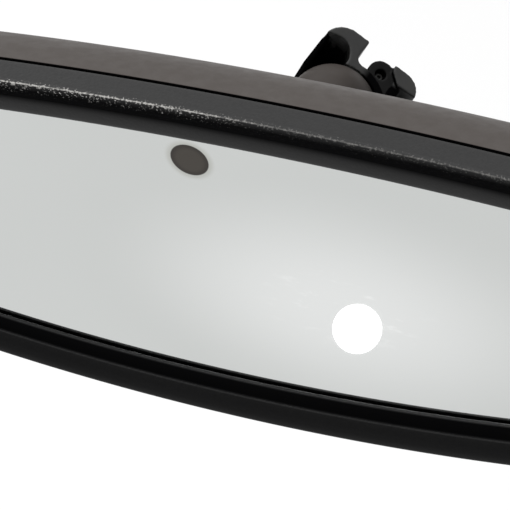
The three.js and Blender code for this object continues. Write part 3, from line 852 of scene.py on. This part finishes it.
class MIRROR_OT_bezel(bpy.types.Operator):
    """Builds the grained bezel: lip, valley, cove, sharp ridge, side and tongue"""

    bl_idname = "mirror.bezel"
    bl_label = "Front bezel"

    def execute(self, context):
        bm = bmesh.new()
        section = self.section()
        # Stored per vertex: how much painted shade and how much painted glint each point takes.
        painted_shade = bm.verts.layers.float.new("painted_shade")
        painted_glint = bm.verts.layers.float.new("painted_glint")
        rows = add_rows(bm, [lens_row(x * MM, y * MM) for x, y, _, _, _ in section])
        middle = glass_origin().z
        fade = 12 * MM
        # Each vertex blends from its bottom share to its top share by height; the painted glint shows along the
        # top only.
        for row, (_, _, above, below, glint_share) in zip(rows, section):
            for vertex in row:
                share = min(1.0, max(0.0, (vertex.co.z - middle) / fade + 0.5))
                vertex[painted_shade] = below + (above - below) * share
                vertex[painted_glint] = glint_share * share
        grid_faces(bm, rows, closed_rows=True)
        mesh_object("bezel", bm, "bezel", "head", ["front_bezel"], 50.0)
        return {"FINISHED"}

    def section(self):
        """Points round the section from the lip's edge, in millimetres.

        Each is outward, back, how much painted shade it takes along the top and along the bottom, and how much
        painted glint it takes.
        """
        s = sizes()
        rim = s.rim / MM
        parting = s.parting / MM
        lip = [
            (0.22, -0.30, 0.8, 0.5, 0), (0.04, -0.40, 0.4, 0.2, 0), (0.0, -0.62, 0.1, 0.1, 0),
            (0.05, -0.84, 0.0, 0.2, 0), (0.22, -0.94, 0.0, 0.65, 0), (0.5, -0.93, 0.0, 1.0, 0)]
        face = [
            (0.9, -0.87, 0.05, 1.0, 0), (1.3, -0.80, 0.12, 1.0, 0), (1.75, -0.73, 0.22, 1.0, 0),
            (2.2, -0.66, 0.40, 1.0, 0), (2.6, -0.61, 0.65, 1.0, 0), (2.9, -0.58, 0.85, 1.0, 0),
            (3.3, -0.62, 1.0, 1.0, 0), (3.7, -0.85, 1.0, 1.0, 0), (3.9, -1.00, 1.0, 0.85, 0),
            (4.1, -1.15, 1.0, 0.3, 0), (4.3, -1.27, 1.0, 0.7, 0)]
        cove = [
            (4.8, -1.58, 1.0, 0.72, 0), (5.5, -1.93, 1.0, 0.72, 0.05), (6.1, -2.18, 1.0, 0.70, 0.15),
            (6.6, -2.36, 1.0, 0.70, 0.25), (7.0, -2.49, 0.95, 0.65, 0.35), (7.3, -2.57, 0.90, 0.60, 0.45),
            (7.6, -2.63, 0.80, 0.60, 0.55), (7.85, -2.66, 0.65, 0.5, 0.65), (8.05, -2.64, 0.3, 0.3, 0.75)]
        ridge = [
            (8.17, -2.59, 0.0, 0.1, 0.95), (8.26, -2.50, 0.0, 0.1, 0.95), (8.31, -2.39, 0.0, 0.2, 0.75),
            (8.34, -2.26, 0.05, 0.3, 0.45)]
        side = [(8.36, -2.0, 0.1, 0.4, 0.15)]
        flank = ((8.38, -1.8), (8.44, -1.0), (8.50, -0.2), (8.56, 0.6), (8.63, 1.3))
        side += [(x, y, 0.18, 0.5, 0) for x, y in flank]
        side += [
            (rim - 0.05, parting - 0.18, 0.15, 0.5, 0), (rim - 0.06, parting - 0.08, 0.15, 0.5, 0),
            (rim - 0.14, parting, 0.6, 0.8, 0)]
        hidden = (
            (rim - 0.4, parting), (rim - 2.9, parting), (rim - 2.9, 4.8), (4.3, 4.8), (4.3, 1.0), (3.2, 0.6),
            (2.6, -0.3))
        tongue = [(x, y, 1, 1, 0) for x, y in hidden]
        return lip + face + cove + ridge + side + tongue


class MIRROR_OT_glass(bpy.types.Operator):
    """Builds the coated front glass with its ground edge"""

    bl_idname = "mirror.glass"
    bl_label = "Coated glass"

    def execute(self, context):
        s = sizes()
        thick = GLASS_HIGH.y - GLASS_LOW.y
        ground = 0.35 * MM
        rows = [
            lens_row(s.glass_rim - ground, 0.0),
            lens_row(s.glass_rim, ground),
            lens_row(s.glass_rim, thick - ground),
            lens_row(s.glass_rim - ground, thick),
        ]
        mesh_object("coated_glass", solid(rows, capped=True), "mirror", "head", ["front_glass"], 20.0)
        return {"FINISHED"}


# ---------------------------------------------------------------- mount


def mount_turn():
    """The rotation that carries the mount's own +Y to the stem and +Z along the channel."""
    nod, swing, roll = [math.radians(degrees) for degrees in (10, 30, -15)]
    return Euler((nod, swing, roll), "YXZ").to_matrix()


class MIRROR_OT_foot(bpy.types.Operator):
    """Rounds the cast foot by remeshing a copy of its solid, and stores the painted shade of its hollows and
    shaded sides
    """

    bl_idname = "mirror.foot"
    bl_label = "Cast foot"

    def execute(self, context):
        source = frame["nodes"]["mount_foot"]
        bm = bmesh.new()
        bm.from_mesh(source.data)
        bmesh.ops.remove_doubles(bm, verts=bm.verts, dist=1e-6)
        foot = plain_object("cast_foot", bm)
        remesh = foot.modifiers.new("remesh", "REMESH")
        remesh.mode = "VOXEL"
        remesh.voxel_size = 0.2 * MM
        smooth = foot.modifiers.new("smooth", "SMOOTH")
        smooth.iterations = 8
        smooth.factor = 0.5
        applied(foot)
        self.store_painted_shade(foot)
        dress(foot, "casting", "mount", ["mount_foot"], 180.0)
        return {"FINISHED"}

    def store_painted_shade(self, foot):
        """Stores, for each vertex, the painted shade it takes: the share of its view that the foot hides, or the
        listed share for its side in the head's shade if more.
        """
        mesh = foot.data
        tree = BVHTree.FromPolygons([v.co for v in mesh.vertices], [p.vertices for p in mesh.polygons])
        reach = 9 * MM
        lift = 0.1 * MM
        ways = self.spread_ways(20)
        to_mount = mount_turn().inverted()
        layer = mesh.attributes.new("painted_shade", "FLOAT", "POINT")
        for vertex in mesh.vertices:
            shade = self.low_side(to_mount @ (vertex.co - BALL) / MM)
            if shade < 1.0:
                basis = vertex.normal.to_track_quat("Z", "Y")
                start = vertex.co + vertex.normal * lift
                hidden = sum(tree.ray_cast(start, basis @ way, reach)[0] is not None for way in ways)
                shade = max(shade, hidden / len(ways))
            layer.data[vertex.index].value = shade

    def spread_ways(self, count):
        """Directions spread over the half sphere about +Z, most of them near its pole."""
        golden = math.pi * (3 - math.sqrt(5))
        ways = []
        for i in range(count):
            height = math.sqrt(1 - (i + 0.5) / count)
            side = math.sqrt(1 - height * height)
            ways.append(Vector((side * math.cos(i * golden), side * math.sin(i * golden), height)))
        return ways

    def low_side(self, local):
        """The left wall, the stop and the claw's lower side lie in the shade of the head. In millimetres."""
        if local.x < -7.9 and local.y < 10.8:
            return 1.0
        if 0.2 < local.x < 6.3 and local.z < 2.2:
            return 0.47
        across = min(1.0, max(0.0, (local.x + 2.5) / 5))
        below = min(1.0, max(0.0, (12.4 - local.y) / 2.5))
        return across * below * 0.6


class MIRROR_OT_joint(bpy.types.Operator):
    """Builds the ball stud, its seat and the pressure cup"""

    bl_idname = "mirror.joint"
    bl_label = "Ball joint"

    def execute(self, context):
        turn = mount_turn()
        upright = Matrix.Identity(3)
        stud = turned_mesh(self.stud_profile(), BALL, turn)
        mesh_object("ball_stud_turned", stud, "steel", "mount", ["ball_stud"])
        self.bowl("ball_seat_liner", (5.5, 6.1), (32, 152), turn, "nylon", "ball_seat")
        self.bowl("pressure_cup_pressed", (6.4, 6.9), (100, 168), upright, "steel", "pressure_cup")
        return {"FINISHED"}

    def stud_profile(self):
        """Ball, stem, shoulder and the rivet end above it."""
        ball = 5.2 * MM
        stem = 2.2 * MM
        rivet = 1.8 * MM
        shoulder = 8.05 * MM
        top = 9.3 * MM
        soft = 0.2 * MM
        profile = arc(ball, math.pi, math.asin(stem / ball), 40)
        profile[0] = (0.0, -ball)
        profile += [(stem, shoulder - soft), (stem - 0.15 * MM, shoulder), (rivet, shoulder)]
        profile += [(rivet, top - soft), (rivet - soft, top), (0.0, top)]
        return profile

    def bowl(self, name, radii, span, turn, slot, body):
        """A part of a hollow sphere round the ball, between two angles from the stem."""
        inner, outer = [radius * MM for radius in radii]
        start, end = [math.radians(degrees) for degrees in span]
        profile = arc(outer, end, start, 26) + arc(inner, start, end, 26)
        mesh_object(name, turned_mesh(profile, BALL, turn, closed=True), slot, body, [body])


class MIRROR_OT_hardware(bpy.types.Operator):
    """Builds the set screw in the stop and the leaf clip in the foot's channel"""

    bl_idname = "mirror.hardware"
    bl_label = "Channel hardware"

    def execute(self, context):
        self.set_screw()
        self.clip()
        return {"FINISHED"}

    def set_screw(self):
        """A threaded grub screw along the channel, with a six-sided socket."""
        low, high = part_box("set_screw")
        along = mount_turn() @ Matrix.Rotation(math.pi / 2, 3, "X")
        half = 1.45 * MM
        radius = 0.75 * MM
        pitch = 0.35 * MM
        depth = 0.09 * MM
        steps = 48
        last = int(2 * half / pitch) * 4
        rows = [ring(0.0, -half, steps)]
        for i in range(last + 1):
            inset = depth if i % 4 in (1, 2) else 0.0
            if i in (0, last):
                inset = 0.12 * MM
            rows.append(ring(radius - inset, -half + 2 * half * i / last, steps))
        rows.append(self.hexagon(0.44 * MM, half, steps))
        rows.append(self.hexagon(0.42 * MM, half - 0.9 * MM, steps))
        rows.append(ring(0.0, half - 1.05 * MM, steps))
        screw = solid(moved(rows, (low + high) / 2, along))
        mesh_object("set_screw_threaded", screw, "casting", "mount", ["set_screw"], 30.0)

    def hexagon(self, across, y, steps):
        """A ring pulled in to six flat sides."""
        points = ring(across, y, steps)
        for i, point in enumerate(points):
            sixth = (2 * math.pi * i / steps % (math.pi / 3)) - math.pi / 6
            share = math.cos(math.pi / 6) / math.cos(sixth)
            point.x *= share
            point.z *= share
        return points

    def clip(self):
        """A bowed strip of spring steel with softened sides."""
        low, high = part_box("button_clip")
        turn = mount_turn()
        half = 2.2 * MM
        width = 1.5 * MM
        thick = 0.4 * MM
        bow = 0.9 * MM
        edge = 0.06 * MM
        steps = 32
        ways = [-1 + 2 * i / steps for i in range(steps + 1)]
        outline = [(way, 0.5) for way in ways] + [(way, -0.5) for way in ways[::-1]]
        rows = []
        for side, shrink in ((-width, 0.8), (-width + edge, 1.0), (width - edge, 1.0), (width, 0.8)):
            row = []
            for way, level in outline:
                rise = bow * (math.cos(math.pi * way / 2) - 0.5)
                narrow = 1 - (1 - shrink) * 0.1
                row.append(Vector((side, rise + level * thick * shrink, half * way * narrow)))
            rows.append(row)
        strip = solid(moved(rows, (low + high) / 2, turn), capped=True)
        mesh_object("leaf_clip", strip, "steel", "mount", ["button_clip"])


class MIRROR_OT_screws(bpy.types.Operator):
    """Builds the cross-head screws of the carrier, the board and the spring plate"""

    bl_idname = "mirror.screws"
    bl_label = "Screws"

    def execute(self, context):
        tree = spread_tree()
        self.group(tree, "carrier_screw", 4, 2.8 * MM, 0.8 * MM, 1.2 * MM, 1)
        self.group(tree, "board_screw", 4, 2.3 * MM, 1.2 * MM, 0.9 * MM, -1)
        self.group(tree, "plate_screw", 3, 2.4 * MM, 1.4 * MM, 1.1 * MM, 1)
        return {"FINISHED"}

    def group(self, tree, node, count, head, head_height, shank, direction):
        names = [f"{node}_{i + 1}" for i in range(count)]
        points = []
        for name in names:
            low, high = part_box(name)
            start = low.y if direction > 0 else high.y
            points.append(Vector(((low.x + high.x) / 2, start, (low.z + high.z) / 2)))
        pattern = self.pattern(head, head_height, shank, high.y - low.y, direction)
        values = {"Piece": pattern, "Turn": 2 * math.pi, "Seed": 7, "Material": FINISHES["steel"]}
        piece = tree.grow(f"{node}s", points, values)
        bpy.data.objects.remove(pattern)
        dress(piece, "steel", "head", names, 30.0)

    def pattern(self, head, head_height, shank, end, direction):
        """One screw with its head's top at the origin, running along Y."""
        soft = 0.25 * MM
        pitch = 0.5 * MM
        depth = 0.16 * MM
        edge = 0.08 * MM
        plain = 0.4 * MM
        tip = end - 1.2 * MM
        profile = [
            (0.0, 0.0), (head - 3 * soft, 0.02 * MM), (head - soft, 0.12 * MM), (head, soft + 0.1 * MM),
            (head, head_height - edge), (head - edge, head_height), (shank, head_height)]
        for i in range(int((tip - head_height - plain) / pitch)):
            y = head_height + plain + pitch * i
            profile += [(shank - depth, y), (shank, y + pitch * 0.4), (shank, y + pitch * 0.5)]
        profile += [(shank - depth, tip), (shank * 0.55, end - 0.2 * MM), (0.0, end)]
        turn = Matrix.Identity(3) if direction > 0 else Matrix.Rotation(math.pi, 3, "X")
        screw = plain_object("screw_pattern", turned_mesh(profile, Vector(), turn, 40))
        recess = min(head_height * 0.75, 0.9 * MM)
        return subtract(screw, *[self.slot(turn, head * 0.52, recess, quarter) for quarter in (0, 1)])

    def slot(self, turn, reach, recess, quarter):
        """One bar of the cross recess, narrower at its floor."""
        bm = bmesh.new()
        bmesh.ops.create_cube(bm, size=2.0)
        spin = Matrix.Rotation(math.pi / 2 * quarter, 3, "Y")
        half_width = 0.32 * MM
        for vertex in bm.verts:
            taper, y = (0.72, recess) if vertex.co.y > 0 else (1.0, -0.5 * MM)
            place = Vector((vertex.co.x * reach * taper, y, vertex.co.z * half_width * taper))
            vertex.co = turn @ spin @ place
        return plain_object("slot_cut", bm)


class MIRROR_OT_spring(bpy.types.Operator):
    """Winds the coil spring behind the ball"""

    bl_idname = "mirror.spring"
    bl_label = "Pressure spring"

    def execute(self, context):
        low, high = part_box("pressure_spring")
        wire = 0.55 * MM
        start = Vector(((low.x + high.x) / 2, low.y + wire, (low.z + high.z) / 2))
        values = {"Turns": 6.0, "Radius": (high.x - low.x) / 2 - wire, "Height": high.y - low.y - 2 * wire,
                  "Wire": wire, "Material": FINISHES["steel"]}
        piece = coil_tree().grow("coil_spring", [start], values)
        dress(piece, "steel", "head", ["pressure_spring"], 60.0)
        return {"FINISHED"}


class MIRROR_OT_pins(bpy.types.Operator):
    """Builds the four contact pins of the connector"""

    bl_idname = "mirror.pins"
    bl_label = "Connector pins"

    def execute(self, context):
        names = [f"connector_pin_{i + 1}" for i in range(4)]
        points = []
        for name in names:
            low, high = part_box(name)
            points.append((low + high) / 2)
        pattern = self.pattern(high - low)
        values = {"Piece": pattern, "Turn": 0.0, "Seed": 7, "Material": FINISHES["gold"]}
        piece = spread_tree().grow("contact_pins", points, values)
        bpy.data.objects.remove(pattern)
        dress(piece, "gold", "head", names, 30.0)
        return {"FINISHED"}

    def pattern(self, size):
        """One square pin with chamfered edges and tapered tips."""
        half = size / 2
        chamfer = 0.08 * MM
        taper = 0.7 * MM
        tip = 0.45
        rows = []
        for y, scale in ((-half.y, tip), (-half.y + taper, 1.0), (half.y - taper, 1.0), (half.y, tip)):
            x = half.x * scale
            z = half.z * scale
            cut = chamfer * scale
            corners = ((x - cut, -z), (x, -z + cut), (x, z - cut), (x - cut, z),
                       (-x + cut, z), (-x, z - cut), (-x, -z + cut), (-x + cut, -z))
            rows.append([Vector((a, y, b)) for a, b in corners])
        return plain_object("pin_pattern", solid(rows, capped=True))


# ---------------------------------------------------------------- inside the head


class MIRROR_OT_inside(bpy.types.Operator):
    """Gives every piece that keeps its solid the finish of its slot"""

    bl_idname = "mirror.inside"
    bl_label = "Inner pieces"

    def execute(self, context):
        slots = {row["node"]: row["material_slot"] for row in frame["record"]["subparts"]}
        for name, node in frame["nodes"].items():
            node.data.materials.clear()
            node.data.materials.append(FINISHES[slots[name]])
        return {"FINISHED"}


# ---------------------------------------------------------------- stage


def camera_axes():
    """The camera's right, up and back, from its turn, height and roll."""
    s = bpy.context.scene.mirror_stage
    back = Vector((
        math.sin(s.azimuth) * math.cos(s.elevation),
        -math.cos(s.azimuth) * math.cos(s.elevation),
        math.sin(s.elevation),
    ))
    level = Vector((math.cos(s.azimuth), math.sin(s.azimuth), 0))
    upright = back.cross(level)
    right = math.cos(s.roll) * level + math.sin(s.roll) * upright
    up = -math.sin(s.roll) * level + math.cos(s.roll) * upright
    return right, up, back


def look_from(obj, place, right, up, back):
    rotation = Matrix((right, up, back)).transposed()
    obj.matrix_world = Matrix.Translation(place) @ rotation.to_4x4()


def area_light(name, place, target, size, power):
    light = bpy.data.lights.new(name, "AREA")
    light.shape = "DISK"
    light.size = size
    light.energy = power
    lamp = bpy.data.objects.new(name, light)
    lamp.location = place
    lamp.rotation_euler = (Vector(place) - Vector(target)).to_track_quat("Z", "Y").to_euler()
    bpy.context.scene.collection.objects.link(lamp)
    return lamp


class MIRROR_OT_stage(bpy.types.Operator):
    """Sets the camera, the pale floor, the soft lights and the round lamp that shows in the glass"""

    bl_idname = "mirror.stage"
    bl_label = "Stage"

    def execute(self, context):
        self.camera()
        self.floor()
        self.lights()
        return {"FINISHED"}

    def camera(self):
        s = bpy.context.scene.mirror_stage
        right, up, back = camera_axes()
        aim = glass_origin() + Vector((s.aim_right, 0, s.aim_up))
        data = bpy.data.cameras.new("camera")
        data.lens = s.lens
        data.sensor_width = 36.0
        data.clip_start = 0.02
        data.clip_end = 50.0
        camera = bpy.data.objects.new("camera", data)
        look_from(camera, aim + back * s.distance, right, up, back)
        bpy.context.scene.collection.objects.link(camera)
        bpy.context.scene.camera = camera

    def floor(self):
        s = bpy.context.scene.mirror_stage
        f = Finish("pale_floor")
        tone = f.mottled(f.noise(1.5, 2.0), (0.86, 0.86, 0.86), (0.90, 0.90, 0.90))
        material = f.finish(Base_Color=tone, Roughness=0.8)
        bm = bmesh.new()
        bmesh.ops.create_circle(bm, cap_ends=True, radius=9.0, segments=96,
                                matrix=Matrix.Translation((0, 0, -s.floor_drop)))
        floor = plain_object("floor", bm)
        floor.data.materials.append(material)

    def lights(self):
        world = bpy.data.worlds.new("studio")
        world.use_nodes = True
        background = world.node_tree.nodes["Background"]
        background.inputs["Color"].default_value = (1, 1, 1, 1)
        background.inputs["Strength"].default_value = 0.68
        bpy.context.scene.world = world
        bpy.context.scene.view_settings.view_transform = "Standard"
        area_light("overhead", (-0.7, 1.0, 2.0), (0, 0, 0), size=4.0, power=46.0)
        area_light("side", (-0.62, -1.20, 0.80), (0, -0.05, 0), size=0.3, power=5.0)
        self.round_lamp()

    def round_lamp(self):
        """A small round lamp whose image lies right of the middle of the glass."""
        origin = glass_origin()
        seen = origin + Vector((21.9, 0, -9.4)) * MM
        eye = bpy.context.scene.camera.matrix_world.translation
        ray = (seen - eye).normalized()
        ray.y = -ray.y
        reach = 0.45
        lamp = area_light("round_lamp", seen + ray * reach, seen, size=0.0173, power=0.0019)
        lamp.visible_camera = False


# ---------------------------------------------------------------- panel and running


OPERATORS = (
    MIRROR_OT_shell,
    MIRROR_OT_neck,
    MIRROR_OT_bezel,
    MIRROR_OT_glass,
    MIRROR_OT_foot,
    MIRROR_OT_joint,
    MIRROR_OT_hardware,
    MIRROR_OT_screws,
    MIRROR_OT_spring,
    MIRROR_OT_pins,
    MIRROR_OT_inside,
    MIRROR_OT_stage,
)


class MIRROR_PT_panel(bpy.types.Panel):
    bl_label = "Rearview mirror"
    bl_idname = "MIRROR_PT_panel"
    bl_space_type = "VIEW_3D"
    bl_region_type = "UI"
    bl_category = "Mirror"

    def draw(self, context):
        for operator in OPERATORS:
            self.layout.operator(operator.bl_idname)
        for group in ("mirror_sizes", "mirror_colours", "mirror_stage"):
            values = getattr(context.scene, group)
            box = self.layout.box()
            for name in values.bl_rna.properties.keys():
                if name not in ("rna_type", "name"):
                    box.prop(values, name)


CLASSES = (HeadSizes, FinishColours, StageSizes, *OPERATORS, MIRROR_PT_panel)


def register():
    for cls in CLASSES:
        bpy.utils.register_class(cls)
    bpy.types.Scene.mirror_sizes = PointerProperty(type=HeadSizes)
    bpy.types.Scene.mirror_colours = PointerProperty(type=FinishColours)
    bpy.types.Scene.mirror_stage = PointerProperty(type=StageSizes)


def unregister():
    del bpy.types.Scene.mirror_stage
    del bpy.types.Scene.mirror_colours
    del bpy.types.Scene.mirror_sizes
    for cls in reversed(CLASSES):
        bpy.utils.unregister_class(cls)


def main():
    register()
    FINISHES.update(make_finishes())
    bpy.ops.mirror.inside()
    bpy.ops.mirror.shell()
    bpy.ops.mirror.neck()
    bpy.ops.mirror.bezel()
    bpy.ops.mirror.glass()
    bpy.ops.mirror.foot()
    bpy.ops.mirror.joint()
    bpy.ops.mirror.hardware()
    bpy.ops.mirror.screws()
    bpy.ops.mirror.spring()
    bpy.ops.mirror.pins()
    bpy.ops.mirror.stage()


if __name__ == "__main__":
    main()
